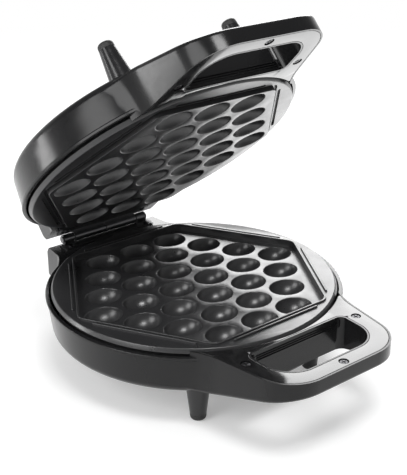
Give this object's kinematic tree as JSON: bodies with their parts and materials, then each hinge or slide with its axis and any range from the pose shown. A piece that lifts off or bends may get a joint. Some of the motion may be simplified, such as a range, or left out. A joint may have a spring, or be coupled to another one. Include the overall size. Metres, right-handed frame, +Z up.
{
  "type": "bubble waffle maker",
  "caption": "Electric table-top iron for bubble waffles: a round footed base and a hinged lid, each with an oval-pocket plate and a loop handle with a finger hole.",
  "frame": {"origin": "middle of the bounding box at the level of the base's foot tips, lid open as stored", "axes": "+Z up, +Y from the handle towards the hinge, X along the hinge pin"},
  "size_m": [0.207, 0.2924, 0.2506],
  "materials": {
    "shell": "gloss",
    "cover": "gloss",
    "feet": "semi-gloss",
    "foot_cap": "matt",
    "plate": "dark non-stick coating",
    "element": "satin",
    "insulator": "matt ceramic",
    "terminal": "plain",
    "reflector": "mill",
    "screw": "zinc plated",
    "hinge": "satin",
    "thermostat": "plain",
    "block": "matt",
    "lead": "matt sleeve",
    "gland": "matt",
    "lens_red": "clear tinted",
    "lens_green": "clear tinted",
    "bulb": "clear"
  },
  "bodies": {
    "base": {"base_shell": "shell", "base_handle_cover": "cover", "base_cover_screws": "screw", "base_plate": "plate", "base_plate_screws": "screw", "base_heater": "element", "base_heater_seals": "insulator", "base_heater_tabs": "terminal", "base_heater_saddles": "reflector", "base_reflector": "reflector", "base_feet": "feet", "base_foot_caps": "foot_cap", "base_foot_screws": "screw", "base_hinge_leaf": "hinge", "base_leaf_screws": "screw", "hinge_pin": "hinge", "base_terminal_block": "block", "base_heater_leads": "lead", "thermostat": "thermostat", "thermostat_bracket": "reflector", "thermostat_leads": "lead", "thermal_fuse": "thermostat", "cord_gland": "gland", "cord_gland_nut": "gland"},
    "lid": {"lid_shell": "shell", "lid_handle_cover": "cover", "lid_cover_screws": "screw", "lid_plate": "plate", "lid_plate_screws": "screw", "lid_heater": "element", "lid_heater_seals": "insulator", "lid_heater_tabs": "terminal", "lid_heater_saddles": "reflector", "lid_reflector": "reflector", "lid_feet": "feet", "lid_foot_caps": "foot_cap", "lid_foot_screws": "screw", "lid_hinge_leaf": "hinge", "lid_leaf_screws": "screw", "lid_terminal_block": "block", "lid_heater_leads": "lead", "power_lamp_lens": "lens_red", "ready_lamp_lens": "lens_green", "lamp_holder": "block", "lamp_bulbs": "bulb", "lamp_leads": "lead"}
  },
  "joints": [
    {"name": "lid_hinge", "type": "hinge", "parent": "base", "child": "lid", "pos_m": [0, 0.11802, 0.0605], "axis": [-1, 0, 0], "range_deg": [-43.7, 50.8]}
  ]
}
